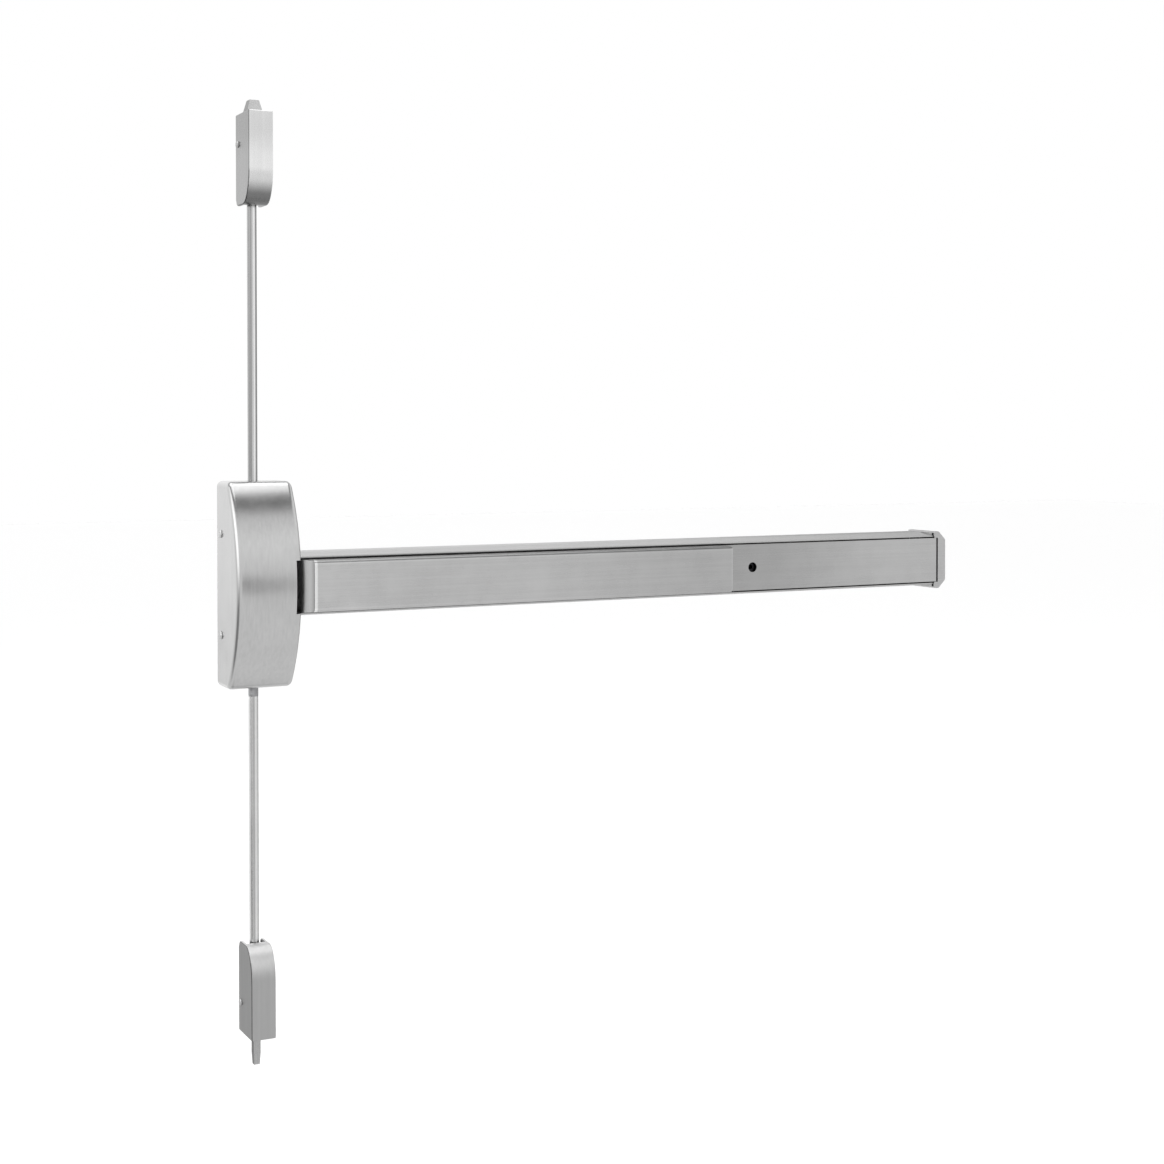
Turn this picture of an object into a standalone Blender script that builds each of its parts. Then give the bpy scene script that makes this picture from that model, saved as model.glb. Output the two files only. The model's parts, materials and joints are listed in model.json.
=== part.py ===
"""Surface vertical rod exit device: centre case, push rail, two rods and two latches.

Frame: metres, +Z up, +X along the rail away from the case, +Y into the door.
The door's face is the plane Y = 0 and the origin is the centre of the case's back.
"""

from math import asin, atan2, cos, degrees, pi, radians, sin, sqrt, tan

import bmesh
import bpy
from mathutils import Matrix, Vector

# Running gap between pieces that touch on the real device
GAP = 0.0003

# Centre case
CASE_WIDTH = 0.066
CASE_HEIGHT = 0.204
CASE_DEPTH = 0.067
CASE_FRONT_RADIUS = 0.176
CASE_WALL = 0.002
CASE_EDGE_ROUND = 0.0055
CASE_END_ROUND = 0.010
CASE_ARC_STEPS = 28
CASE_ROUND_STEPS = 5
NOTCH_LEFT_X = 0.0270
NOTCH_HALF_HEIGHT = 0.0262
COVER_SCREW_Y = -0.0125
COVER_SCREW_Z = 0.050
BASE_THICKNESS = 0.0026
BASE_HALF_WIDTH = CASE_WIDTH / 2 - CASE_WALL - 0.0004
BASE_HALF_HEIGHT = CASE_HEIGHT / 2 - 0.004
FLANGE_HALF_LENGTH = 0.014
FLANGE_WALL = 0.0022

# Rail and filler cover
BAR_Z = -0.0012
RAIL_START_X = CASE_WIDTH / 2 + GAP
RAIL_END_X = 0.8200
RAIL_DEPTH = 0.048
RAIL_HALF_HEIGHT = 0.0317
RAIL_FRONT_HALF = 0.0287
RAIL_OPENING_HALF = 0.0272
RAIL_TAPER_START = 0.024
RAIL_WALL = 0.002
FILLER_FRONT = 0.049
FILLER_HALF = 0.0257
FILLER_STEP_X = 0.5310
FILLER_SHELF_X = 0.5060
FILLER_SHELF_FRONT = 0.0375
FILLER_END_X = 0.8228
FILLER_WALL = 0.0016
KEY_HOLE_X = 0.565
KEY_HOLE_RADIUS = 0.0055

# End cap
CAP_START_X = FILLER_END_X + 0.0012
CAP_END_X = 0.8354
CAP_SLEEVE_X = 0.8190
CAP_DEPTH = 0.0505
CAP_HALF_HEIGHT = 0.0335
CAP_CORNER = 0.0095
CAP_WALL = 0.0018
CAP_WEB_FRONT = 0.0450
CAP_SCREW_Y = -0.020
CAP_SCREW_SPREAD = 0.013

# Push pad
PAD_START_X = 0.0463
PAD_END_X = 0.5300
PAD_FRONT = 0.063
PAD_BACK = 0.038
PAD_HALF = 0.0258
PAD_ROUND = 0.0045
PAD_WALL = 0.0018
PAD_INNER_FRONT = -PAD_FRONT + PAD_WALL + GAP
NOSE_FLANK_X = 0.0345
PAD_TRAVEL = 0.0125

# Bell cranks in the rail
CRANK_XS = (0.125, 0.455)
CRANK_PIVOT_Y = -0.022
PAD_ARM = 0.022
BAR_ARM = 0.0144
CRANK_SWING = 2 * asin(PAD_TRAVEL / 2 / PAD_ARM)
PIN_RADIUS = 0.0025
PIVOT_RADIUS = 0.003

# Actuator bar
BAR_FRONT_Y = -0.0091
BAR_BACK_Y = -0.0061
BAR_MIDDLE_Y = (BAR_FRONT_Y + BAR_BACK_Y) / 2
BAR_HALF_HEIGHT = 0.0084
BAR_START_X = 0.0135
BAR_END_X = 0.600
BAR_TRAVEL = 2 * BAR_ARM * tan(CRANK_SWING / 2)
SPINDLE_RADIUS = 0.0024
SPRING_SEAT_X = 0.650
SPINDLE_END_X = 0.662
SPRING_WIRE = 0.0006
SPRING_RADIUS = 0.0036
SPRING_TURNS = 10

# Lift levers in the case
ROD_TRAVEL = 0.014
LEVER_REACH = 0.023
LEVER_SWING = 2 * atan2(ROD_TRAVEL / 2, LEVER_REACH)
LEVER_ROD_ARM = ROD_TRAVEL / 2 / sin(LEVER_SWING / 2)
LEVER_BAR_ARM = BAR_TRAVEL / 2 / sin(LEVER_SWING / 2)
LEVER_PEG_OFFSET = 0.0052
PEG_RADIUS = 0.0020
PEG_CLEARANCE = 0.00035
LEVER_FRONT_Y = -0.0212
LEVER_BACK_Y = -0.0182
SLEEVE_RADIUS = 0.0068

# Rods and latches
ROD_Y = -0.011
ROD_RADIUS = 0.00476
LATCH_WIDTH = 0.025
LATCH_DEPTH = 0.042
LATCH_HEIGHT = 0.0905
LATCH_WALL = 0.0016
LATCH_TOE_DEPTH = 0.022
LATCH_FLAT = 0.056
LATCH_CURVE_STEPS = 12
LATCH_BACK_ROUND = 0.0045
LATCH_EDGE_ROUND = 0.0014
LATCH_GATE_HALF = 0.0096
LATCH_GATE_DEPTH = 0.0172
LATCH_SCREW_HEIGHT = 0.030
LATCH_SCREW_Y = -0.0070
LATCH_SCREW_LENGTH = 0.0045
UPPER_LATCH_END_Z = 0.465
LOWER_LATCH_END_Z = -0.449
UPPER_BOLT_TIP_Z = 0.4780
LOWER_BOLT_TIP_Z = -0.4800
BOLT_Y = -0.016
BOLT_HALF_WIDTH = 0.0075
BOLT_HALF_DEPTH = 0.0080
UPPER_BOLT_TAPER = 0.0105
LOWER_BOLT_HALF = 0.0036
LOWER_BOLT_TIP_HALF = 0.0029
LOWER_BOLT_TAPER = 0.012

# Dogging hook
HOOK_Y_FRONT = -0.0150
HOOK_Y_BACK = -0.0120


def clear_scene():
    for item in list(bpy.data.objects):
        bpy.data.objects.remove(item, do_unlink=True)


def collection_named(name):
    group = bpy.data.collections.new(name)
    bpy.context.scene.collection.children.link(group)
    return group


def metal(name, colour, roughness, metallic=1.0):
    material = bpy.data.materials.new(name)
    material.use_nodes = True
    shader = material.node_tree.nodes["Principled BSDF"]
    shader.inputs["Base Color"].default_value = (*colour, 1.0)
    shader.inputs["Roughness"].default_value = roughness
    shader.inputs["Metallic"].default_value = metallic
    material.diffuse_color = (*colour, 1.0)
    return material


clear_scene()
PARTS = collection_named("panic_exit_bar")
CUTTERS = collection_named("cutters")

SATIN = ((0.62, 0.62, 0.62), 0.34)
BRIGHT = ((0.70, 0.70, 0.70), 0.25)
ZINC = ((0.52, 0.53, 0.54), 0.45)
BLACK_STEEL = ((0.06, 0.06, 0.065), 0.50)


def finish_object(item, look):
    """Each piece gets a material of its own, named after it."""
    colour, roughness = look
    item.data.materials.append(metal(item.name + "_metal", colour, roughness))
    item.data.shade_smooth()
    item.data.set_sharp_from_angle(angle=radians(30))
    return item


def new_object(name, mesh, group, location=(0, 0, 0)):
    item = bpy.data.objects.new(name, mesh)
    item.location = location
    group.objects.link(item)
    return item


def as_cutter(item):
    PARTS.objects.unlink(item)
    CUTTERS.objects.link(item)
    item.hide_render = True
    item.display_type = "WIRE"
    return item


def box(name, low, high, pivot=(0, 0, 0)):
    """A box between two corners, whose object origin is at pivot."""
    shape = bmesh.new()
    size = [b - a for a, b in zip(low, high)]
    middle = [(a + b) / 2 - p for a, b, p in zip(low, high, pivot)]
    bmesh.ops.create_cube(shape, size=1.0)
    bmesh.ops.scale(shape, vec=size, verts=shape.verts)
    bmesh.ops.translate(shape, vec=middle, verts=shape.verts)
    mesh = bpy.data.meshes.new(name)
    shape.to_mesh(mesh)
    shape.free()
    return new_object(name, mesh, PARTS, pivot)


def cylinder(name, start, end, radius, end_radius=None, sides=16, pivot=(0, 0, 0)):
    """A cylinder or cone from start to end."""
    shape = bmesh.new()
    way = Vector(end) - Vector(start)
    bmesh.ops.create_cone(
        shape,
        cap_ends=True,
        segments=sides,
        radius1=radius,
        radius2=radius if end_radius is None else end_radius,
        depth=way.length,
    )
    turn = way.to_track_quat("Z", "Y").to_matrix().to_4x4()
    middle = (Vector(start) + Vector(end)) / 2 - Vector(pivot)
    bmesh.ops.transform(shape, matrix=Matrix.Translation(middle) @ turn, verts=shape.verts)
    mesh = bpy.data.meshes.new(name)
    shape.to_mesh(mesh)
    shape.free()
    return new_object(name, mesh, PARTS, pivot)


def along_x(name, start_x, end_x, y, z, *radii, **more):
    return cylinder(name, (start_x, y, z), (end_x, y, z), *radii, **more)


def along_y(name, x, start_y, end_y, z, *radii, **more):
    return cylinder(name, (x, start_y, z), (x, end_y, z), *radii, **more)


def along_z(name, x, y, start_z, end_z, *radii, **more):
    return cylinder(name, (x, y, start_z), (x, y, end_z), *radii, **more)


def square_taper(name, base, base_half, tip, tip_half):
    """A four-sided block that narrows from base to tip; each half is a size along X and along Y."""
    shape = bmesh.new()
    bmesh.ops.create_cube(shape, size=2.0)
    for vertex in shape.verts:
        end, half = (tip, tip_half) if vertex.co.z > 0 else (base, base_half)
        vertex.co = (end[0] + vertex.co.x * half[0], end[1] + vertex.co.y * half[1], end[2])
    bmesh.ops.recalc_face_normals(shape, faces=shape.faces)
    mesh = bpy.data.meshes.new(name)
    shape.to_mesh(mesh)
    shape.free()
    return new_object(name, mesh, PARTS)


# Each plane's matrix takes an outline's own x and y, and its thickness direction, into the world
PLANES = {
    "XZ": Matrix(((1, 0, 0), (0, 0, 1), (0, 1, 0))),
    "YZ": Matrix(((0, 0, 1), (1, 0, 0), (0, 1, 0))),
    "XY": Matrix(((1, 0, 0), (0, 1, 0), (0, 0, 1))),
}


def prism(name, plane, outline, low, high, pivot=(0, 0, 0)):
    """A flat outline in one plane, made solid from low to high along the plane's normal."""
    curve = bpy.data.curves.new(name + "_outline", "CURVE")
    curve.dimensions = "2D"
    curve.fill_mode = "BOTH"
    curve.extrude = (high - low) / 2
    spline = curve.splines.new("POLY")
    spline.points.add(len(outline) - 1)
    for point, (x, y) in zip(spline.points, outline):
        point.co = (x, y, 0, 1)
    spline.use_cyclic_u = True
    flat = bpy.data.objects.new(name + "_flat", curve)
    PARTS.objects.link(flat)
    bpy.context.view_layer.update()
    solid = flat.evaluated_get(bpy.context.evaluated_depsgraph_get())
    mesh = bpy.data.meshes.new_from_object(solid)
    bpy.data.objects.remove(flat, do_unlink=True)
    shape = bmesh.new()
    shape.from_mesh(mesh)
    bmesh.ops.remove_doubles(shape, verts=shape.verts, dist=0.000001)
    turn = PLANES[plane].to_4x4()
    normal = PLANES[plane] @ Vector((0, 0, 1))
    shift = Matrix.Translation(normal * ((low + high) / 2) - Vector(pivot))
    bmesh.ops.transform(shape, matrix=shift @ turn, verts=shape.verts)
    bmesh.ops.recalc_face_normals(shape, faces=shape.faces)
    shape.to_mesh(mesh)
    shape.free()
    mesh.name = name
    return new_object(name, mesh, PARTS, pivot)


def bevel(item, width, segments=3, angle=30):
    """Round edges, then split every face into triangles, so that later cuts meet only flat faces."""
    shape = bmesh.new()
    shape.from_mesh(item.data)
    bmesh.ops.dissolve_limit(shape, angle_limit=radians(0.5), verts=shape.verts, edges=shape.edges)
    shape.to_mesh(item.data)
    shape.free()
    tool = item.modifiers.new("edge_round", "BEVEL")
    tool.width = width
    tool.segments = segments
    tool.limit_method = "ANGLE"
    tool.angle_limit = radians(angle)
    item.modifiers.new("flat_faces", "TRIANGULATE")
    return item


def combine(item, others, operation):
    for other in others:
        tool = item.modifiers.new(operation.lower() + "_" + other.name, "BOOLEAN")
        tool.operation = operation
        tool.solver = "EXACT"
        tool.object = as_cutter(other)
    return item


def cut(item, *others):
    return combine(item, others, "DIFFERENCE")


def join(item, *others):
    return combine(item, others, "UNION")


def weld(item):
    """Merge points a hair apart, which close cuts leave behind."""
    tool = item.modifiers.new("close_seams", "WELD")
    tool.merge_threshold = 0.00001
    return item


def arc(centre, radius, start, end, steps):
    """Points along an arc, with both ends, from start to end in degrees."""
    points = []
    for step in range(steps + 1):
        angle = radians(start + (end - start) * step / steps)
        points.append((centre[0] + radius * cos(angle), centre[1] + radius * sin(angle)))
    return points


def link_outline(first, first_radius, last, last_radius, steps=8):
    """The outline of a plain link: two round ends and the two lines that touch both."""
    way = Vector(last) - Vector(first)
    heading = degrees(atan2(way.y, way.x))
    tilt = degrees(asin((first_radius - last_radius) / way.length))
    back = arc(first, first_radius, heading + 90 - tilt, heading + 270 + tilt, steps)
    front = arc(last, last_radius, heading - 90 + tilt, heading + 90 - tilt, steps)
    return back + front


def slot_outline(centre, length, width, heading=0, steps=6):
    """A slot with round ends: length over all along heading, in degrees."""
    half = (length - width) / 2
    along = Vector((cos(radians(heading)), sin(radians(heading)))) * half
    first = Vector(centre) - along
    last = Vector(centre) + along
    return link_outline(first, width / 2, last, width / 2, steps)


# ---------------------------------------------------------------- centre case


def case_outline(inset, back_y):
    """The case seen from its side: an arched front with rounded ends, running past the door's face."""
    radius = CASE_FRONT_RADIUS - inset
    round_radius = CASE_END_ROUND - inset
    half = CASE_HEIGHT / 2 - inset
    centre_y = CASE_FRONT_RADIUS - CASE_DEPTH
    round_z = half - round_radius
    sweep = asin(round_z / (radius - round_radius))
    round_y = centre_y - (radius - round_radius) * cos(sweep)
    upper = []
    for step in range(CASE_ARC_STEPS // 2 + 1):
        angle = sweep * step / (CASE_ARC_STEPS // 2)
        upper.append((centre_y - radius * cos(angle), radius * sin(angle)))
    for step in range(1, CASE_ROUND_STEPS + 1):
        angle = sweep + (pi / 2 - sweep) * step / CASE_ROUND_STEPS
        upper.append((round_y - round_radius * cos(angle), round_z + round_radius * sin(angle)))
    upper.append((back_y, half))
    lower = [(y, -z) for y, z in reversed(upper[1:])]
    return lower + upper


def case_block(name, inset, back_y):
    """The case's solid form, or with an inset its hollow."""
    half_width = CASE_WIDTH / 2 - inset
    block = prism(name, "YZ", case_outline(inset, back_y), -half_width, half_width)
    return bevel(block, CASE_EDGE_ROUND - inset, segments=4)


def case_cover():
    cover = case_block("case_cover", 0.0, 0.012)
    hollow = case_block("case_hollow", CASE_WALL, 0.024)
    behind = box("case_back_cut", (-0.05, 0.0, -0.12), (0.05, 0.05, 0.12))
    notch = box(
        "case_notch",
        (NOTCH_LEFT_X, -0.08, BAR_Z - NOTCH_HALF_HEIGHT),
        (0.05, 0.03, BAR_Z + NOTCH_HALF_HEIGHT),
    )
    rods = cylinder("case_rod_hole", (0, ROD_Y, -0.12), (0, ROD_Y, 0.12), 0.0062)
    cut(cover, hollow, behind, notch, rods)
    for side in (-1, 1):
        for end in (-1, 1):
            cut(cover, cover_screw_hole(f"cover_screw_hole{side}{end}", side, end, 0.0028))
    return finish_object(weld(cover), SATIN)


def cover_screw_hole(name, side, end, radius):
    z = end * COVER_SCREW_Z
    return cylinder(name, (side * 0.026, COVER_SCREW_Y, z), (side * 0.040, COVER_SCREW_Y, z), radius)


def cover_screws():
    """Pan head screws through the cover's sides into the base plate's flanges."""
    skin = CASE_WIDTH / 2
    for side, side_name in ((-1, "left"), (1, "right")):
        for end, end_name in ((-1, "lower"), (1, "upper")):
            z = end * COVER_SCREW_Z
            name = f"case_cover_screw_{side_name}_{end_name}"
            inner = (side * 0.0275, COVER_SCREW_Y, z)
            outer = (side * (skin + 0.0008), COVER_SCREW_Y, z)
            screw = cylinder(name, inner, outer, 0.0020)
            under = (side * (skin + GAP), COVER_SCREW_Y, z)
            top = (side * (skin + 0.0018), COVER_SCREW_Y, z)
            head = cylinder(name + "_head", under, top, 0.0042, 0.0034, sides=20)
            slot = box(
                name + "_slot",
                (side * (skin + 0.0030) - 0.0020, COVER_SCREW_Y - 0.0006, z - 0.006),
                (side * (skin + 0.0030) + 0.0020, COVER_SCREW_Y + 0.0006, z + 0.006),
            )
            finish_object(cut(join(screw, head), slot), BRIGHT)


def case_baseplate():
    """The plate that is screwed to the door, with side flanges, and a tongue into the rail."""
    plate = box(
        "case_baseplate",
        (-BASE_HALF_WIDTH, -BASE_THICKNESS, -BASE_HALF_HEIGHT),
        (BASE_HALF_WIDTH, 0, BASE_HALF_HEIGHT),
    )
    tongue = box(
        "base_tongue",
        (0.020, -BASE_THICKNESS - 0.0022, BAR_Z - 0.0245),
        (0.060, -RAIL_WALL - GAP, BAR_Z + 0.0245),
    )
    join(plate, tongue)
    for side in (-1, 1):
        for end in (-1, 1):
            inner = side * (BASE_HALF_WIDTH - FLANGE_WALL)
            outer = side * BASE_HALF_WIDTH
            low_z = COVER_SCREW_Z - FLANGE_HALF_LENGTH
            high_z = COVER_SCREW_Z + FLANGE_HALF_LENGTH
            flange = box(
                f"base_flange{side}{end}",
                (min(inner, outer), -0.020, min(end * low_z, end * high_z)),
                (max(inner, outer), -0.001, max(end * low_z, end * high_z)),
            )
            join(plate, flange)
            cut(plate, cover_screw_hole(f"base_screw_hole{side}{end}", side, end, 0.0023))
            hole_x = side * 0.017
            hole_z = end * (BASE_HALF_HEIGHT - 0.011)
            cut(plate, along_y(f"door_screw_hole{side}{end}", hole_x, -0.01, 0.01, hole_z, 0.0033))
    for x, z in rail_screw_places():
        cut(plate, along_y(f"tongue_hole_{z:.3f}", x, -0.010, 0.010, z, 0.0023))
    for end in (-1, 1):
        x, z = lever_pivot(end)
        cut(plate, along_y(f"post_hole{end}", x, -0.010, 0.010, z, 0.0023))
    return finish_object(plate, ZINC)


def rail_screw_places():
    return ((0.048, BAR_Z + 0.017), (0.048, BAR_Z - 0.017))


def rail_screws():
    """Screws that hold the rail's back to the case's tongue, flush with the door's face."""
    for (x, z), name in zip(rail_screw_places(), ("rail_screw_upper", "rail_screw_lower")):
        shank = along_y(name, x, -0.0016, -0.0085, z, 0.0020)
        head = along_y(name + "_head", x, -0.0003, -0.0018, z, 0.0038, 0.0022, sides=20)
        socket = along_y(name + "_socket", x, 0.001, -0.0011, z, 0.0012, sides=6)
        finish_object(cut(join(shank, head), socket), ZINC)


# ---------------------------------------------------------------- lift levers


def lever_peg(end):
    """Where the actuator bar's peg meets a lever at rest; end is 1 above and -1 below."""
    pivot_x, pivot_z = lever_pivot(end)
    return pivot_x - LEVER_BAR_ARM * sin(LEVER_SWING / 2), BAR_Z + end * LEVER_PEG_OFFSET


def lever_pivot(end):
    drop = LEVER_BAR_ARM * cos(LEVER_SWING / 2)
    return LEVER_REACH, BAR_Z + end * (LEVER_PEG_OFFSET + drop)


def lever_rod_pin(end):
    """Where the rod's peg sits in the lever at rest."""
    return 0.0, lever_pivot(end)[1] + end * ROD_TRAVEL / 2


def lever_posts():
    for end, name in ((1, "lift_lever_post_upper"), (-1, "lift_lever_post_lower")):
        x, z = lever_pivot(end)
        post = along_y(name, x, -0.0004, LEVER_FRONT_Y - 0.0030, z, 0.0020)
        foot_y = -BASE_THICKNESS - 0.0026
        shoulder = along_y(name + "_shoulder", x, foot_y, LEVER_BACK_Y + GAP, z, 0.0034)
        washer = along_y(name + "_washer", x, LEVER_FRONT_Y - GAP, LEVER_FRONT_Y - 0.0015, z, 0.0036)
        finish_object(join(post, shoulder, washer), ZINC)


def lift_levers():
    """Each lever turns the bar's pull along X into a rod's travel along Z."""
    for end, name in ((1, "lift_lever_upper"), (-1, "lift_lever_lower")):
        x, z = lever_pivot(end)
        rod = lever_rod_pin(end)
        peg = lever_peg(end)
        faces = (LEVER_FRONT_Y, LEVER_BACK_Y)
        long_arm = link_outline((x, z), 0.0060, rod, 0.0048)
        short_arm = link_outline((x, z), 0.0060, peg, 0.0041)
        lever = prism(name, "XZ", long_arm, *faces, pivot=(x, 0, z))
        join(lever, prism(name + "_arm", "XZ", short_arm, *faces))
        cut(lever, along_y(name + "_bore", x, -0.03, -0.01, z, 0.0024))
        rod_play = LEVER_ROD_ARM - LEVER_REACH
        peg_play = LEVER_BAR_ARM - LEVER_BAR_ARM * cos(LEVER_SWING / 2)
        for label, place, play in (("rod", rod, rod_play), ("peg", peg, peg_play)):
            cut(lever, lever_slot(f"{name}_{label}_slot", (x, z), place, play))
        finish_object(lever, ZINC)


def lever_slot(name, pivot, place, play):
    """A slot along the arm: a peg that runs in a straight line comes nearer the pivot by play."""
    outward = Vector(place) - Vector(pivot)
    centre = Vector(place) - outward.normalized() * play / 2
    width = 2 * (PEG_RADIUS + PEG_CLEARANCE)
    heading = degrees(atan2(outward.y, outward.x))
    return prism(name, "XZ", slot_outline(centre, width + play, width, heading), -0.03, -0.01)


# ---------------------------------------------------------------- rail


def mirrored(half):
    """A half outline above the bar's centre line, and its mirror image below it."""
    upper = [(y, BAR_Z + z) for y, z in half]
    lower = [(y, BAR_Z - z) for y, z in reversed(half)]
    return upper + lower


def rail_outline():
    outer = [
        (0, RAIL_HALF_HEIGHT),
        (-RAIL_TAPER_START, RAIL_HALF_HEIGHT),
        (-RAIL_DEPTH, RAIL_FRONT_HALF),
        (-RAIL_DEPTH, RAIL_OPENING_HALF),
    ]
    inner = [
        (-RAIL_TAPER_START, RAIL_HALF_HEIGHT - RAIL_WALL),
        (-RAIL_WALL, RAIL_HALF_HEIGHT - RAIL_WALL),
    ]
    return mirrored(outer + inner)


def rail_channel():
    rail = prism("rail_channel", "YZ", rail_outline(), RAIL_START_X, RAIL_END_X - 0.0012)
    for x, z in rail_screw_places():
        cut(rail, along_y(f"rail_hole_{z:.3f}", x, 0.005, -0.0028, z, 0.0042))
    return finish_object(rail, SATIN)


def filler_cover():
    """The fixed cover: its shelf runs under the pad, and its key hole is over the dogging screw."""
    wall = FILLER_WALL
    outline = [
        (FILLER_SHELF_X, -FILLER_SHELF_FRONT),
        (FILLER_STEP_X, -FILLER_SHELF_FRONT),
        (FILLER_STEP_X, -FILLER_FRONT),
        (FILLER_END_X, -FILLER_FRONT),
        (FILLER_END_X, -FILLER_FRONT + wall),
        (FILLER_STEP_X + wall, -FILLER_FRONT + wall),
        (FILLER_STEP_X + wall, -FILLER_SHELF_FRONT + wall),
        (FILLER_SHELF_X, -FILLER_SHELF_FRONT + wall),
    ]
    cover = prism("filler_cover", "XY", outline, BAR_Z - FILLER_HALF, BAR_Z + FILLER_HALF)
    shelf_sides = []
    for side in (-1, 1):
        inner = BAR_Z + side * (FILLER_HALF - wall)
        outer = BAR_Z + side * (FILLER_HALF - 0.0001)
        flange = box(
            f"filler_flange{side}",
            (FILLER_STEP_X + 0.0002, -FILLER_FRONT + 0.0002, min(inner, outer)),
            (FILLER_END_X - 0.0002, -0.0410, max(inner, outer)),
        )
        join(cover, flange)
        edge = BAR_Z + side * (PAD_HALF - PAD_WALL - 0.0006)
        far = BAR_Z + side * 0.035
        shelf_sides.append(
            box(
                f"shelf_side{side}",
                (FILLER_SHELF_X - 0.01, -0.0480, min(edge, far)),
                (FILLER_STEP_X - 0.0001, -0.030, max(edge, far)),
            )
        )
    cut(cover, *shelf_sides)
    hole = along_y("key_hole", KEY_HOLE_X, -0.06, -0.044, BAR_Z, KEY_HOLE_RADIUS, sides=32)
    return finish_object(cut(cover, hole), SATIN)


def cap_outline(inset=0.0, left=CAP_START_X):
    """The end cap seen from the front: both right corners are cut off."""
    half = CAP_HALF_HEIGHT - inset
    right = CAP_END_X - inset
    corner = CAP_CORNER - inset * (2 - sqrt(2))
    return [
        (left, BAR_Z - half),
        (right - corner, BAR_Z - half),
        (right, BAR_Z - half + corner),
        (right, BAR_Z + half - corner),
        (right - corner, BAR_Z + half),
        (left, BAR_Z + half),
    ]


def end_cap():
    """A cup over the rail's end: open to the rail and to the door."""
    cap = prism("rail_end_cap", "XZ", cap_outline(0.0, CAP_SLEEVE_X), -CAP_DEPTH, 0.006)
    bevel(cap, 0.0011, 2)
    hollow = prism("cap_hollow", "XZ", cap_outline(CAP_WALL, 0.80), -CAP_DEPTH + CAP_WALL, 0.010)
    front_trim = box(
        "cap_front_trim",
        (0.80, -0.06, BAR_Z - FILLER_HALF - GAP),
        (CAP_START_X, -RAIL_DEPTH + 0.0015, BAR_Z + FILLER_HALF + GAP),
    )
    behind = box("cap_back_cut", (0.79, 0, -0.05), (0.85, 0.03, 0.05))
    cut(cap, hollow, front_trim, behind)
    for end in (-1, 1):
        join(cap, cap_web(end))
        z = BAR_Z + end * CAP_SCREW_SPREAD
        cut(cap, along_x(f"cap_hole{end}", 0.82, 0.85, CAP_SCREW_Y, z, 0.0025))
    return finish_object(weld(cap), SATIN)


def cap_web(end):
    """A web that closes the wedge between the cap's straight wall and the rail's sloping one."""
    wall_z = CAP_HALF_HEIGHT - CAP_WALL / 2
    outline = [
        (-RAIL_TAPER_START - 0.002, BAR_Z + end * wall_z),
        (-RAIL_TAPER_START - 0.002, BAR_Z + end * (RAIL_HALF_HEIGHT - GAP)),
        (-CAP_WEB_FRONT, BAR_Z + end * (RAIL_FRONT_HALF + 0.0002)),
        (-CAP_WEB_FRONT, BAR_Z + end * wall_z),
    ]
    return prism(f"cap_web{end}", "YZ", outline, CAP_SLEEVE_X + GAP, CAP_SLEEVE_X + 0.0022)


def end_bracket():
    """An angle on the door: its foot closes the cap's back, and its leg takes the cap's screws."""
    face_x = CAP_END_X - CAP_WALL - GAP - 0.0001
    low_z, high_z = BAR_Z - 0.022, BAR_Z + 0.022
    foot_outline = cap_outline(CAP_WALL + GAP, RAIL_END_X - 0.0005)
    foot = prism("rail_end_bracket", "XZ", foot_outline, -0.0030, 0.0)
    leg = box("end_bracket_leg", (face_x - 0.0030, -0.034, low_z), (face_x, -0.0010, high_z))
    tongue = box("end_bracket_tongue", (0.780, -0.0052, low_z), (0.826, -0.0024, high_z))
    join(foot, leg, tongue)
    for end in (-1, 1):
        z = BAR_Z + end * CAP_SCREW_SPREAD
        cut(foot, along_x(f"bracket_hole{end}", 0.82, 0.85, CAP_SCREW_Y, z, 0.0021))
        cut(foot, along_y(f"bracket_door_hole{end}", 0.795, -0.01, 0.01, z, 0.0026))
    return finish_object(foot, ZINC)


def end_cap_screws():
    skin = CAP_END_X
    for end, name in ((1, "end_cap_screw_upper"), (-1, "end_cap_screw_lower")):
        z = BAR_Z + end * CAP_SCREW_SPREAD
        screw = along_x(name, 0.8255, skin + 0.0008, CAP_SCREW_Y, z, 0.0018)
        head = along_x(name + "_head", skin + GAP, skin + 0.0017, CAP_SCREW_Y, z, 0.0037, 0.0030)
        slot = box(
            name + "_slot",
            (skin + 0.0009, CAP_SCREW_Y - 0.006, z - 0.0005),
            (skin + 0.0040, CAP_SCREW_Y + 0.006, z + 0.0005),
        )
        finish_object(cut(join(screw, head), slot), BRIGHT)


# ---------------------------------------------------------------- push pad


def pad_half_section(inset=0.0):
    """Half of the pad's section: one side wall and the round corner that leads into the front."""
    half = PAD_HALF - inset
    front = -PAD_FRONT + inset
    radius = PAD_ROUND - inset
    corner = (front + radius, half - radius)
    return [(-PAD_BACK, half)] + arc(corner, radius, 90, 180, 6)


def pad_shell():
    """A tray with round front corners, open to the door."""
    outer = mirrored(pad_half_section())
    inner = mirrored(pad_half_section(PAD_WALL))
    shell = prism("push_pad_shell", "YZ", outer + list(reversed(inner)), PAD_START_X, PAD_END_X)
    return finish_object(shell, SATIN)


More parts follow.
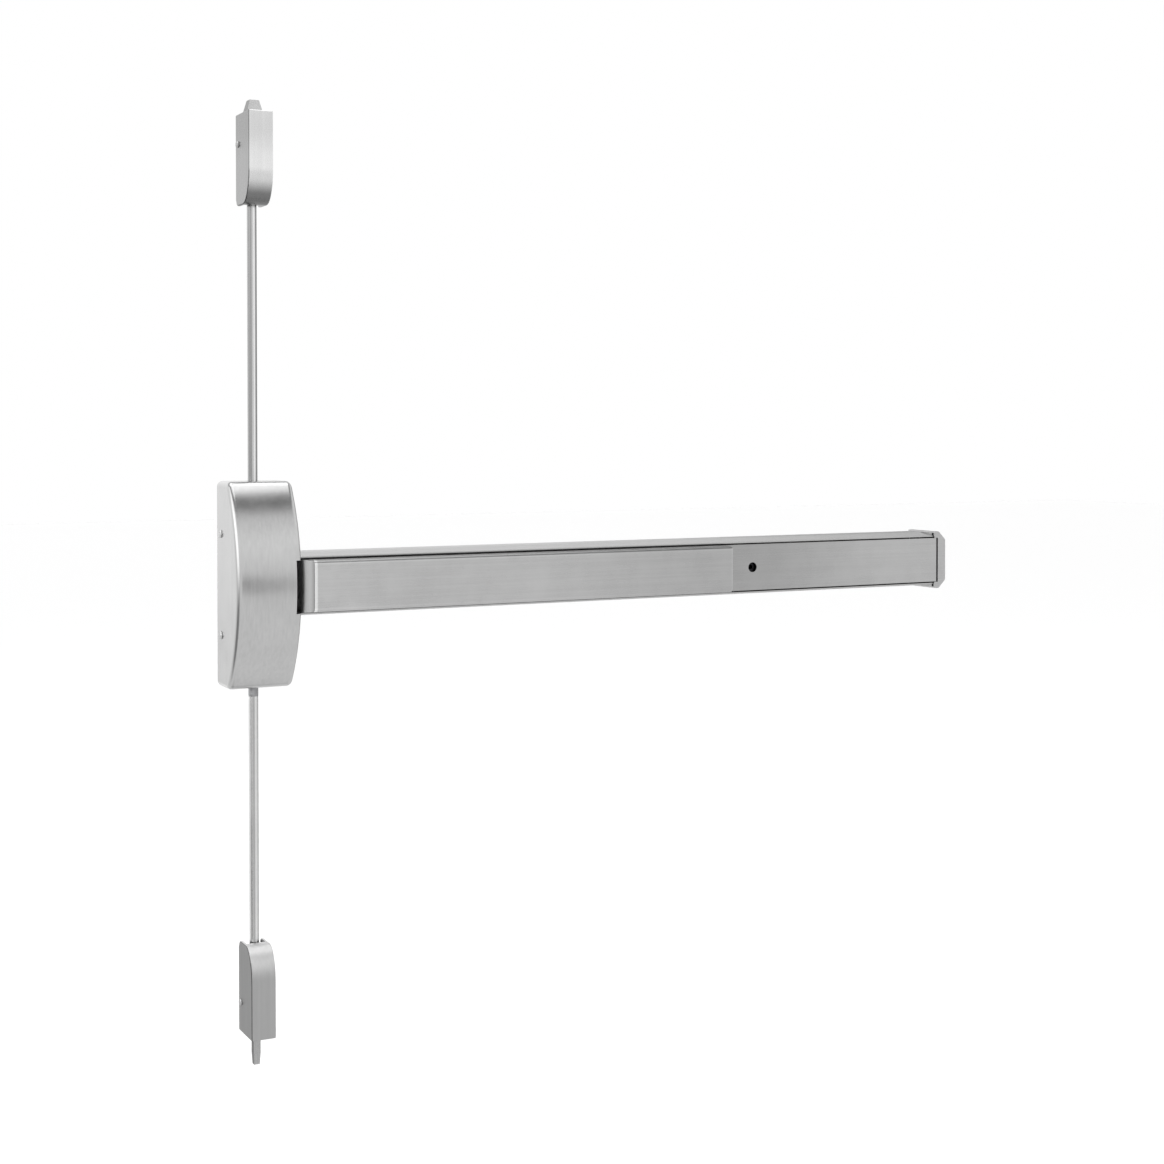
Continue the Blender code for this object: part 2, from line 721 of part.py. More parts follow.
def pad_end_cap_left():
    """The moulded nose that closes the pad beside the case."""
    seam = PAD_START_X - GAP
    face = arc((0.05314, -0.03885), 0.025, 221.8, 253.4, 8)
    outline = [(seam, -PAD_BACK), (NOSE_FLANK_X, -PAD_BACK)] + face + [(seam, -PAD_FRONT + 0.0002)]
    nose = prism("push_pad_nose", "XY", outline, BAR_Z - PAD_HALF, BAR_Z + PAD_HALF)
    section = mirrored(pad_half_section())
    trim = prism("nose_section", "YZ", section, 0.030, seam + 0.0001)
    combine(nose, (trim,), "INTERSECT")
    plug = box(
        "nose_plug",
        (seam - 0.002, -0.0595, BAR_Z - 0.0215),
        (seam + 0.014, -0.0520, BAR_Z + 0.0215),
    )
    return finish_object(join(nose, plug), ZINC)


def pad_end_plug_right():
    """A plate that closes the pad's right end, with a foot under the pad's face."""
    front = PAD_INNER_FRONT
    half = PAD_HALF - PAD_WALL - GAP - 0.003
    plate = box(
        "push_pad_end_plate",
        (PAD_END_X - 0.0020, front, BAR_Z - half),
        (PAD_END_X - 0.0002, -0.0510, BAR_Z + half),
    )
    foot = box(
        "end_plate_foot",
        (PAD_END_X - 0.0160, front, BAR_Z - half),
        (PAD_END_X - 0.0010, front + 0.0018, BAR_Z + half),
    )
    return finish_object(join(plate, foot), ZINC)


def pad_brackets():
    """Each bracket hangs from the pad's face, and its two ears carry a crank's pin in a slot."""
    front = PAD_INNER_FRONT
    pin_y = CRANK_PIVOT_Y - PAD_TRAVEL / 2
    reach = PAD_ARM * cos(CRANK_SWING / 2)
    slot_middle = (reach + PAD_ARM) / 2
    for x, side in zip(CRANK_XS, ("left", "right")):
        name = "pad_bracket_" + side
        bracket = box(
            name,
            (x - 0.036, front, BAR_Z - 0.019),
            (x - 0.008, front + 0.002, BAR_Z + 0.019),
        )
        for ear_side in (-1, 1):
            low = BAR_Z + min(ear_side * 0.0060, ear_side * 0.0080)
            ear = box(
                f"{name}_ear{ear_side}",
                (x - 0.029, front + 0.0010, low),
                (x - 0.0145, pin_y + 0.0050, low + 0.0020),
            )
            join(bracket, ear)
        slot = prism(
            name + "_slot",
            "XY",
            slot_outline((x - slot_middle, pin_y), PIN_RADIUS * 2 + 0.0018, PIN_RADIUS * 2 + 0.0008),
            BAR_Z - 0.012,
            BAR_Z + 0.012,
        )
        finish_object(cut(bracket, slot), ZINC)


# ---------------------------------------------------------------- bell cranks


def crank_brackets():
    """A bridge on the rail's back: the actuator bar passes under its pivot pin."""
    for x, side in zip(CRANK_XS, ("left", "right")):
        name = "crank_bracket_" + side
        bracket = box(
            name,
            (x - 0.012, -0.0043, BAR_Z - 0.024),
            (x + 0.012, -RAIL_WALL - GAP, BAR_Z + 0.024),
        )
        for ear_side in (-1, 1):
            low = BAR_Z + min(ear_side * 0.0092, ear_side * 0.0112)
            ear = box(
                f"{name}_ear{ear_side}",
                (x - 0.007, -0.0275, low),
                (x + 0.007, -0.0035, low + 0.0020),
            )
            join(bracket, ear)
        bore_radius = PIVOT_RADIUS + GAP
        bore = along_z(name + "_bore", x, CRANK_PIVOT_Y, -0.03, 0.03, bore_radius)
        finish_object(cut(bracket, bore), ZINC)
        low_z, high_z = BAR_Z - 0.0135, BAR_Z + 0.0135
        pin = along_z("crank_pivot_pin_" + side, x, CRANK_PIVOT_Y, low_z, high_z, PIVOT_RADIUS)
        finish_object(bevel(pin, 0.0004, 1, 60), BRIGHT)


def bell_cranks():
    """Pressing the pad turns each crank clockwise seen from above and pulls the bar to +X."""
    rest = CRANK_SWING / 2
    for x, side in zip(CRANK_XS, ("left", "right")):
        name = "bell_crank_" + side
        pivot = (x, CRANK_PIVOT_Y, BAR_Z)
        pin = (x - PAD_ARM * cos(rest), CRANK_PIVOT_Y - PAD_ARM * sin(rest))
        tip_reach = 0.0146
        tip = (x - tip_reach * sin(rest), CRANK_PIVOT_Y + tip_reach * cos(rest))
        arm = link_outline(pivot[:2], 0.0066, pin, 0.0048)
        finger = link_outline(pivot[:2], 0.0030, tip, 0.0024)
        crank = prism(name, "XY", arm, BAR_Z - 0.0045, BAR_Z + 0.0045, pivot)
        join(crank, prism(name + "_finger", "XY", finger, BAR_Z - 0.0035, BAR_Z + 0.0035))
        cut(crank, along_z(name + "_bore", *pivot[:2], -0.02, 0.02, PIVOT_RADIUS + GAP))
        cut(crank, along_z(name + "_pin_bore", *pin, -0.02, 0.02, PIN_RADIUS + GAP))
        finish_object(crank, ZINC)
        crank_pin = along_z(
            "crank_pad_pin_" + side,
            *pin,
            BAR_Z - 0.0088,
            BAR_Z + 0.0088,
            PIN_RADIUS,
            sides=20,
            pivot=pivot,
        )
        finish_object(crank_pin, BRIGHT)


# ---------------------------------------------------------------- actuator bar


def actuator_bar():
    bar = box(
        "actuator_bar",
        (BAR_START_X, BAR_FRONT_Y, BAR_Z - BAR_HALF_HEIGHT),
        (BAR_END_X, BAR_BACK_Y, BAR_Z + BAR_HALF_HEIGHT),
    )
    rest = CRANK_SWING / 2
    window_half = (0.0024 / cos(rest)) + 0.0015 * tan(rest) + 0.0006
    for x, side in zip(CRANK_XS, ("left", "right")):
        middle = x - BAR_ARM * tan(rest)
        window = box(
            "bar_window_" + side,
            (middle - window_half, -0.02, BAR_Z - 0.0041),
            (middle + window_half, 0.0, BAR_Z + 0.0041),
        )
        cut(bar, window)
    for end in (-1, 1):
        x, z = lever_peg(end)
        cut(bar, along_y(f"bar_peg_hole{end}", x, -0.02, 0, z, 0.0023))
    return finish_object(bar, ZINC)


def actuator_pegs():
    """Pegs riveted in the bar's left end: each one turns a lift lever."""
    for end, name in ((1, "actuator_peg_upper"), (-1, "actuator_peg_lower")):
        x, z = lever_peg(end)
        peg = along_y(name, x, BAR_BACK_Y, LEVER_FRONT_Y - 0.0010, z, PEG_RADIUS, sides=20)
        collar_ends = (BAR_FRONT_Y - GAP, LEVER_BACK_Y + 0.0008)
        collar = along_y(name + "_collar", x, *collar_ends, z, 0.0030, sides=20)
        finish_object(join(peg, collar), BRIGHT)


def spring_spindle():
    """A turned stem on the bar's right end, with a fork that straddles the bar."""
    stem_ends = (BAR_END_X + 0.0040, SPINDLE_END_X)
    stem = along_x("spring_spindle", *stem_ends, BAR_MIDDLE_Y, BAR_Z, SPINDLE_RADIUS, sides=20)
    fork = box(
        "spindle_fork",
        (BAR_END_X - 0.0120, BAR_MIDDLE_Y - 0.0035, BAR_Z - 0.0045),
        (BAR_END_X + 0.0060, BAR_MIDDLE_Y + 0.0030, BAR_Z + 0.0045),
    )
    gap = box(
        "spindle_gap",
        (BAR_END_X - 0.03, BAR_FRONT_Y - GAP, BAR_Z - 0.02),
        (BAR_END_X + GAP, BAR_BACK_Y + GAP, BAR_Z + 0.02),
    )
    return finish_object(cut(join(stem, fork), gap), ZINC)


def spring_seat():
    """A bracket on the rail's back that the return spring pushes against."""
    start_x = SPRING_SEAT_X
    seat = box(
        "spring_seat",
        (start_x, -0.0043, BAR_Z - 0.018),
        (start_x + 0.034, -RAIL_WALL - GAP, BAR_Z + 0.018),
    )
    wall = box(
        "seat_wall",
        (start_x, -0.0165, BAR_Z - 0.010),
        (start_x + 0.0025, -0.0035, BAR_Z + 0.010),
    )
    hole_ends = (start_x - 0.01, start_x + 0.01)
    hole = along_x("seat_hole", *hole_ends, BAR_MIDDLE_Y, BAR_Z, SPINDLE_RADIUS + 0.0005)
    return finish_object(cut(join(seat, wall), hole), ZINC)


def return_spring():
    """A compression spring on the spindle, between its fork and the seat."""
    start = BAR_END_X + 0.0060 + GAP + SPRING_WIRE
    end = SPRING_SEAT_X - GAP - SPRING_WIRE
    steps = 10
    count = SPRING_TURNS * steps
    curve = bpy.data.curves.new("return_spring", "CURVE")
    curve.dimensions = "3D"
    curve.bevel_depth = SPRING_WIRE
    curve.bevel_resolution = 2
    curve.use_fill_caps = True
    spline = curve.splines.new("POLY")
    spline.points.add(count)
    for step, point in enumerate(spline.points):
        turn = 2 * pi * step / steps
        x = start + (end - start) * step / count
        y = BAR_MIDDLE_Y + SPRING_RADIUS * cos(turn)
        z = BAR_Z + SPRING_RADIUS * sin(turn)
        point.co = (x, y, z, 1)
    spring = bpy.data.objects.new("return_spring", curve)
    PARTS.objects.link(spring)
    spring.data.materials.append(metal("return_spring_metal", *BLACK_STEEL))
    return spring


# ---------------------------------------------------------------- dogging


def dogging_plate():
    """A bridge across the rail that carries the dogging screw."""
    half = RAIL_HALF_HEIGHT - RAIL_WALL - GAP - 0.004
    low_x, high_x = KEY_HOLE_X - 0.016, KEY_HOLE_X + 0.016
    plate = box(
        "dogging_plate",
        (low_x, -0.0355, BAR_Z - half),
        (high_x, -0.0325, BAR_Z + half),
    )
    for side in (-1, 1):
        low_z = BAR_Z + min(side * (half - 0.002), side * half)
        leg = box(
            f"dogging_leg{side}",
            (low_x, -0.0355, low_z),
            (high_x, -RAIL_WALL - GAP, low_z + 0.0020),
        )
        join(plate, leg)
    bore = along_y("dogging_bore", KEY_HOLE_X, -0.05, -0.01, BAR_Z, 0.0042, sides=32)
    return finish_object(cut(plate, bore), ZINC)


def dogging_screw():
    """A stem with a hexagon socket behind the key hole, which turns the hook."""
    x = KEY_HOLE_X
    stem = along_y("dogging_screw", x, -0.0395, HOOK_Y_BACK, BAR_Z, 0.0038, pivot=(x, 0, BAR_Z))
    head = along_y("dogging_head", x, -0.0445, -0.0358, BAR_Z, 0.0062)
    socket = along_y("dogging_socket", x, -0.06, -0.0370, BAR_Z, 0.0030, sides=6)
    return finish_object(cut(join(stem, head), socket), BLACK_STEEL)


def dogging_hook():
    """The hook on the stem's back end: one quarter turn brings its arm over the bar's edge."""
    centre = (KEY_HOLE_X, BAR_Z)
    tip = (KEY_HOLE_X + 0.013, BAR_Z)
    outline = link_outline(centre, 0.0070, tip, 0.0032)
    axis = (KEY_HOLE_X, 0, BAR_Z)
    hook = prism("dogging_hook", "XZ", outline, HOOK_Y_FRONT, HOOK_Y_BACK, axis)
    bore = along_y("hook_bore", KEY_HOLE_X, -0.03, -0.005, BAR_Z, 0.0038 + GAP)
    return finish_object(cut(hook, bore), ZINC)


# ---------------------------------------------------------------- rods


def rod_group(end, label, inner_z, outer_z):
    """A rod with its coupling, peg and lock nut inside the case; end is 1 above and -1 below."""
    pin_x, pin_z = lever_rod_pin(end)
    bore_radius = ROD_RADIUS + GAP
    rod = along_z(f"{label}_rod", 0, ROD_Y, inner_z, outer_z, ROD_RADIUS, sides=32)
    finish_object(rod, SATIN)
    coupling = box(
        f"{label}_rod_coupling",
        (-0.0080, -0.0168, pin_z - 0.0060),
        (0.0080, -0.0052, pin_z + 0.0060),
    )
    sleeve_end = inner_z + end * 0.010
    join(coupling, along_z(f"{label}_sleeve", 0, ROD_Y, pin_z, sleeve_end, SLEEVE_RADIUS, sides=24))
    bore_ends = (inner_z - end * GAP, inner_z + end * 0.03)
    cut(coupling, along_z(f"{label}_bore", 0, ROD_Y, *bore_ends, bore_radius, sides=32))
    cut(coupling, along_y(f"{label}_pin_bore", pin_x, -0.03, 0, pin_z, PEG_RADIUS + GAP))
    finish_object(coupling, ZINC)
    peg_end = LEVER_FRONT_Y - 0.0010
    peg = along_y(f"{label}_rod_peg", pin_x, -0.0060, peg_end, pin_z, PEG_RADIUS, sides=20)
    finish_object(peg, BRIGHT)
    nut_start = sleeve_end + end * GAP
    nut_end = nut_start + end * 0.005
    nut = along_z(f"{label}_lock_nut", 0, ROD_Y, nut_start, nut_end, 0.0080, sides=6)
    hole_ends = (nut_start - end * 0.01, nut_start + end * 0.01)
    cut(nut, along_z(f"{label}_nut_bore", 0, ROD_Y, *hole_ends, bore_radius, sides=32))
    finish_object(nut, BRIGHT)


def rod_guides():
    """Angle guides on the base plate that keep the rods straight inside the case."""
    for end, label in ((1, "upper"), (-1, "lower")):
        name = "rod_guide_" + label
        z = end * (BASE_HALF_HEIGHT - 0.0035)
        low_z, high_z = sorted((z, z - end * 0.0025))
        foot_low, foot_high = sorted((z, z - end * 0.016))
        guide = box(name, (-0.0120, -0.0215, low_z), (0.0120, -BASE_THICKNESS - GAP, high_z))
        foot = box(
            name + "_foot",
            (-0.0120, -0.0048, foot_low),
            (0.0120, -BASE_THICKNESS - GAP, foot_high),
        )
        join(guide, foot)
        hole_ends = (end * 0.07, end * 0.12)
        hole = along_z(name + "_hole", 0, ROD_Y, *hole_ends, ROD_RADIUS + GAP, sides=32)
        finish_object(cut(guide, hole), ZINC)


# ---------------------------------------------------------------- latches


def latch_side(inset, back):
    """The latch cover seen from the side: square at its bolt end, at height 0, and curved at its toe."""
    front = LATCH_DEPTH - inset
    toe = LATCH_HEIGHT - inset
    rise = toe - LATCH_FLAT
    run = LATCH_DEPTH - LATCH_TOE_DEPTH
    points = [(back, inset), (-front, inset)]
    for step in range(LATCH_CURVE_STEPS + 1):
        turn = pi / 2 * step / LATCH_CURVE_STEPS
        points.append((-front + run * (1 - cos(turn)), LATCH_FLAT + rise * sin(turn)))
    round_z = LATCH_HEIGHT - LATCH_BACK_ROUND
    points += arc((-LATCH_BACK_ROUND, round_z), LATCH_BACK_ROUND - inset, 90, 0, 4)
    points.append((back, round_z))
    return points


def latch_cover(end, name, end_z):
    """A folded cover: its square end is towards the bolt and its curved toe towards the rod."""

    def placed(points):
        return [(y, end_z - end * h) for y, h in points]

    half = LATCH_WIDTH / 2
    toe_z = end_z - end * LATCH_HEIGHT
    screw_z = end_z - end * LATCH_SCREW_HEIGHT
    cover = prism(name, "YZ", placed(latch_side(0, 0.01)), -half, half)
    bevel(cover, LATCH_EDGE_ROUND, 3)
    inner_side = placed(latch_side(LATCH_WALL, 0.02))
    hollow = prism(name + "_hollow", "YZ", inner_side, -half + LATCH_WALL, half - LATCH_WALL)
    behind = box(name + "_back_cut", (-0.03, 0, end_z - 0.12), (0.03, 0.03, end_z + 0.12))
    gate = box(
        name + "_gate",
        (-LATCH_GATE_HALF, -LATCH_GATE_DEPTH, toe_z - 0.010),
        (LATCH_GATE_HALF, 0.012, toe_z + 0.010),
    )
    bolt_gate = box(
        name + "_bolt_gate",
        (-BOLT_HALF_WIDTH - 0.001, BOLT_Y - BOLT_HALF_DEPTH - 0.001, end_z - 0.01),
        (BOLT_HALF_WIDTH + 0.001, BOLT_Y + BOLT_HALF_DEPTH + 0.001, end_z + 0.01),
    )
    screw_hole = along_x(name + "_screw_hole", -0.02, 0, LATCH_SCREW_Y, screw_z, 0.0024)
    return finish_object(cut(cover, hollow, behind, gate, bolt_gate, screw_hole), SATIN)


def latch_base(end, name, end_z):
    """The plate that is screwed to the door, with a guide block for the bolt."""
    half = LATCH_WIDTH / 2 - LATCH_WALL - GAP
    toe_z = end_z - end * (LATCH_HEIGHT - 0.006)
    near_z = end_z - end * (LATCH_WALL + 0.0006)
    low_z, high_z = sorted((toe_z, near_z))
    plate = box(name, (-half, -0.0026, low_z), (half, 0, high_z))
    guide_a, guide_b = sorted((end_z - end * 0.004, end_z - end * 0.020))
    guide = box(name + "_guide", (-half, -0.0290, guide_a), (half, -0.0015, guide_b))
    join(plate, guide)
    bore = box(
        name + "_bore",
        (-BOLT_HALF_WIDTH - 0.0004, BOLT_Y - BOLT_HALF_DEPTH - 0.0004, guide_a - 0.01),
        (BOLT_HALF_WIDTH + 0.0004, BOLT_Y + BOLT_HALF_DEPTH + 0.0004, guide_b + 0.01),
    )
    cut(plate, bore)
    screw_z = end_z - end * LATCH_SCREW_HEIGHT
    lug_low, lug_high = screw_z - 0.005, screw_z + 0.005
    lug = box(name + "_lug", (-half, -0.0120, lug_low), (-half + 0.0022, -0.0015, lug_high))
    join(plate, lug)
    cut(plate, along_x(name + "_lug_hole", -0.02, 0, LATCH_SCREW_Y, screw_z, 0.0019))
    for offset in (0.045, 0.075):
        z = end_z - end * offset
        cut(plate, along_y(f"{name}_door_hole{offset}", 0, -0.01, 0.01, z, 0.0024))
    return finish_object(plate, ZINC)


def latch_screw(end, name, end_z):
    z = end_z - end * LATCH_SCREW_HEIGHT
    skin = -LATCH_WIDTH / 2
    screw = along_x(name, skin + LATCH_SCREW_LENGTH, skin - 0.0008, LATCH_SCREW_Y, z, 0.0016)
    head_ends = (skin - GAP, skin - 0.0018)
    head = along_x(name + "_head", *head_ends, LATCH_SCREW_Y, z, 0.0034, 0.0028, sides=20)
    slot = box(
        name + "_slot",
        (skin - 0.0040, LATCH_SCREW_Y - 0.0005, z - 0.005),
        (skin - 0.0010, LATCH_SCREW_Y + 0.0005, z + 0.005),
    )
    return finish_object(cut(join(screw, head), slot), BRIGHT)


def bolt_block(name, low_z, high_z):
    """The part of a bolt that slides in its latch's guide."""
    return box(
        name,
        (-BOLT_HALF_WIDTH, BOLT_Y - BOLT_HALF_DEPTH, low_z),
        (BOLT_HALF_WIDTH, BOLT_Y + BOLT_HALF_DEPTH, high_z),
    )


def upper_bolt():
    """A block that stands out of the upper latch and narrows to its tip."""
    shoulder_z = UPPER_BOLT_TIP_Z - UPPER_BOLT_TAPER
    block = bolt_block("upper_latch_bolt", UPPER_LATCH_END_Z - 0.030, shoulder_z)
    head = square_taper(
        "upper_bolt_head",
        (0, BOLT_Y, shoulder_z - 0.0005),
        (BOLT_HALF_WIDTH, BOLT_HALF_DEPTH),
        (0, BOLT_Y, UPPER_BOLT_TIP_Z),
        (0.0048, 0.0051),
    )
    return finish_object(join(block, head), SATIN)


def lower_bolt():
    """A block with a slim square pin that stands out of the lower latch and narrows to its tip."""
    guide_z = LOWER_LATCH_END_Z + 0.030
    taper_z = LOWER_BOLT_TIP_Z + LOWER_BOLT_TAPER
    block = bolt_block("lower_latch_bolt", LOWER_LATCH_END_Z + 0.0165, guide_z)
    pin = box(
        "lower_bolt_pin",
        (-LOWER_BOLT_HALF, BOLT_Y - LOWER_BOLT_HALF, taper_z - 0.0005),
        (LOWER_BOLT_HALF, BOLT_Y + LOWER_BOLT_HALF, guide_z - 0.005),
    )
    tip = square_taper(
        "lower_bolt_tip",
        (0, BOLT_Y, taper_z),
        (LOWER_BOLT_HALF, LOWER_BOLT_HALF),
        (0, BOLT_Y, LOWER_BOLT_TIP_Z),
        (LOWER_BOLT_TIP_HALF, LOWER_BOLT_TIP_HALF),
    )
    return finish_object(join(block, pin, tip), SATIN)


def build():
    case_cover()
    cover_screws()
    case_baseplate()
    rail_screws()
    lever_posts()
    lift_levers()
    rail_channel()
    filler_cover()
    end_cap()
    end_bracket()
    end_cap_screws()
    pad_shell()
    pad_end_cap_left()
    pad_end_plug_right()
    pad_brackets()
    crank_brackets()
    bell_cranks()
    actuator_bar()
    actuator_pegs()
    spring_spindle()
    spring_seat()
    return_spring()
    dogging_plate()
    dogging_screw()
    dogging_hook()
    rod_group(1, "upper", lever_rod_pin(1)[1] + 0.0085, UPPER_LATCH_END_Z - 0.0305)
    rod_group(-1, "lower", lever_rod_pin(-1)[1] - 0.0085, LOWER_LATCH_END_Z + 0.0305)
    rod_guides()
    latches = ((1, "upper", UPPER_LATCH_END_Z), (-1, "lower", LOWER_LATCH_END_Z))
    for end, label, end_z in latches:
        latch_cover(end, f"{label}_latch_cover", end_z)
        latch_base(end, f"{label}_latch_base", end_z)
        latch_screw(end, f"{label}_latch_cover_screw", end_z)
    upper_bolt()
    lower_bolt()


build()
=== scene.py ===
"""Looks of the vertical rod exit device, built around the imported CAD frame.

Frame: metres, +Z up, +X along the rail, +Y into the door. The door's face is the plane Y = 0.
"""

import json

from math import cos, pi, radians, sin

import bmesh
import bpy
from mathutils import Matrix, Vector


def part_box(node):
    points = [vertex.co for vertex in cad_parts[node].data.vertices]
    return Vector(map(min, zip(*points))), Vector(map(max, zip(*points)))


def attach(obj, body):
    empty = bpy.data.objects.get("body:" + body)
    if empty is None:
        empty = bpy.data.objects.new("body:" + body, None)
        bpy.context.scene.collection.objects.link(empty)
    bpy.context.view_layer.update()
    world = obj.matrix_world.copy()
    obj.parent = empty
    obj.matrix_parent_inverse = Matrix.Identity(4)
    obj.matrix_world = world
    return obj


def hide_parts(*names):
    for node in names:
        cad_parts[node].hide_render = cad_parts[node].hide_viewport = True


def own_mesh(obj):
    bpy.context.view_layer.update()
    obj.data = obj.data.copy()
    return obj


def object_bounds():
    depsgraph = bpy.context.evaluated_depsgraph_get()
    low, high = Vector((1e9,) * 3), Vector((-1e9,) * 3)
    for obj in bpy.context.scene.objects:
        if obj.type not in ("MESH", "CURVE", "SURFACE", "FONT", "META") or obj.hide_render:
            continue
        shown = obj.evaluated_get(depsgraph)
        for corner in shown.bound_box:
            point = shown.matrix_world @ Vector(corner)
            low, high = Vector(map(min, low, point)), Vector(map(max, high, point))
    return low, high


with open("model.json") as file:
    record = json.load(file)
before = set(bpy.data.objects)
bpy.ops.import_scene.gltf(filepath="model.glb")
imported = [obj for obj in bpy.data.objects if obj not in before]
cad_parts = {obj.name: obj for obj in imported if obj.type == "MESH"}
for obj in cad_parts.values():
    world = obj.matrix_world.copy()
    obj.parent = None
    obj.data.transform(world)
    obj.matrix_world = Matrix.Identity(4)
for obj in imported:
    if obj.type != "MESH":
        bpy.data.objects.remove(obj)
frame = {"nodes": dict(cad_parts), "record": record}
NODES = frame["nodes"]
CAD_LOW, CAD_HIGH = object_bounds()

# ---------------------------------------------------------------- camera

LENS = 56.94
VIEW_AZIMUTH = radians(27.53)
VIEW_TILT = radians(1.145)
CAMERA_PLACE = Vector((-0.5556, -1.7859, 0.1537))
LENS_SHIFT = 0.10


def make_camera():
    """Looks along the rail from the case's side; the drop below eye level is part tilt, part lens shift."""
    data = bpy.data.cameras.new("camera")
    data.lens = LENS
    data.shift_y = -LENS_SHIFT
    camera = bpy.data.objects.new("camera", data)
    bpy.context.scene.collection.objects.link(camera)
    camera.location = CAMERA_PLACE
    camera.rotation_euler = (pi / 2 - VIEW_TILT, 0, -VIEW_AZIMUTH)
    bpy.context.scene.camera = camera


# ---------------------------------------------------------------- node helpers

# Where a Mix node keeps its two colours and its mixed colour
MIX_FIRST = 6
MIX_SECOND = 7
MIX_RESULT = 2


class Graph:
    """A small helper that adds shader nodes and joins them."""

    def __init__(self, tree):
        self.tree = tree

    def node(self, kind, **settings):
        item = self.tree.nodes.new(kind)
        for key, value in settings.items():
            setattr(item, key, value)
        return item

    def link(self, source, target):
        self.tree.links.new(source, target)

    def feed(self, target, value):
        """A socket takes either another socket or a constant."""
        if isinstance(value, bpy.types.NodeSocket):
            self.link(value, target)
        else:
            target.default_value = value

    def math(self, operation, first, second):
        item = self.node("ShaderNodeMath", operation=operation)
        self.feed(item.inputs[0], first)
        self.feed(item.inputs[1], second)
        return item.outputs[0]

    def vector_math(self, operation, first, second, output=0):
        item = self.node("ShaderNodeVectorMath", operation=operation)
        self.feed(item.inputs[0], first)
        self.feed(item.inputs["Scale" if operation == "SCALE" else 1], second)
        return item.outputs[output]

    def axis_tone(self, source, low, high, first, last):
        """A factor that goes from first to last along one axis of the Object or Normal coordinates."""
        kind, axis = source.split()
        parts = self.node("ShaderNodeSeparateXYZ")
        self.link(self.node("ShaderNodeTexCoord").outputs[kind], parts.inputs[0])
        return self.remap(parts.outputs[axis], low, high, first, last, smooth=True)

    def remap(self, value, low, high, new_low, new_high, smooth=False):
        """Takes low to new_low and high to new_high, in a straight line or an S curve."""
        kind = "SMOOTHSTEP" if smooth else "LINEAR"
        item = self.node("ShaderNodeMapRange", interpolation_type=kind)
        self.feed(item.inputs["Value"], value)
        item.inputs["From Min"].default_value = low
        item.inputs["From Max"].default_value = high
        self.feed(item.inputs["To Min"], new_low)
        self.feed(item.inputs["To Max"], new_high)
        return item.outputs["Result"]

    def mix_colour(self, factor, first, second):
        item = self.node("ShaderNodeMix", data_type="RGBA")
        self.feed(item.inputs[0], factor)
        self.feed(item.inputs[MIX_FIRST], first)
        self.feed(item.inputs[MIX_SECOND], second)
        return item.outputs[MIX_RESULT]

    def stretched(self, source, scale):
        """Coordinates scaled by a different number along each axis."""
        item = self.node("ShaderNodeMapping")
        self.link(source, item.inputs["Vector"])
        item.inputs["Scale"].default_value = scale
        return item.outputs["Vector"]

    def noise(self, vector, scale, detail, roughness):
        item = self.node("ShaderNodeTexNoise")
        self.link(vector, item.inputs["Vector"])
        item.inputs["Scale"].default_value = scale
        item.inputs["Detail"].default_value = detail
        item.inputs["Roughness"].default_value = roughness
        return item.outputs["Fac"]


# ---------------------------------------------------------------- studio


def smooth_patch(graph, direction, heading, inner, outer):
    """1 where direction points within inner degrees of heading, falling to 0 at outer degrees."""
    aim = Vector(heading).normalized()
    dot = graph.vector_math("DOT_PRODUCT", direction, aim, output=1)
    return graph.remap(dot, cos(radians(outer)), cos(radians(inner)), 0.0, 1.0, smooth=True)


# How bright the room is from straight down, 0, to straight up, 1
STUDIO_STOPS = (
    (0.0, 0.40),
    (0.03, 0.74),
    (0.06, 0.82),
    (0.50, 0.80),
    (0.70, 0.98),
    (0.825, 0.80),
    (0.864, 0.20),
    (0.900, 0.15),
    (0.926, 1.65),
    (1.0, 1.9),
)
# Softboxes and flags: where they stand, how wide they are in degrees, and what they add
STUDIO_PATCHES = (
    ((-0.952, -0.307, 0.32), 14, 32, 0.85),
    ((-0.952, -0.307, -0.40), 16, 32, -0.55),
    ((0.233, -0.970, -0.06), 2, 8, -0.42),
    ((-0.307, 0.938, -0.165), 2, 6, -0.22),
    ((-0.307, 0.952, 0.1), 25, 50, 0.20),
    ((0.75, 0.66, 0.0), 10, 24, -0.60),
)
DARKEST_CORNER = 0.05


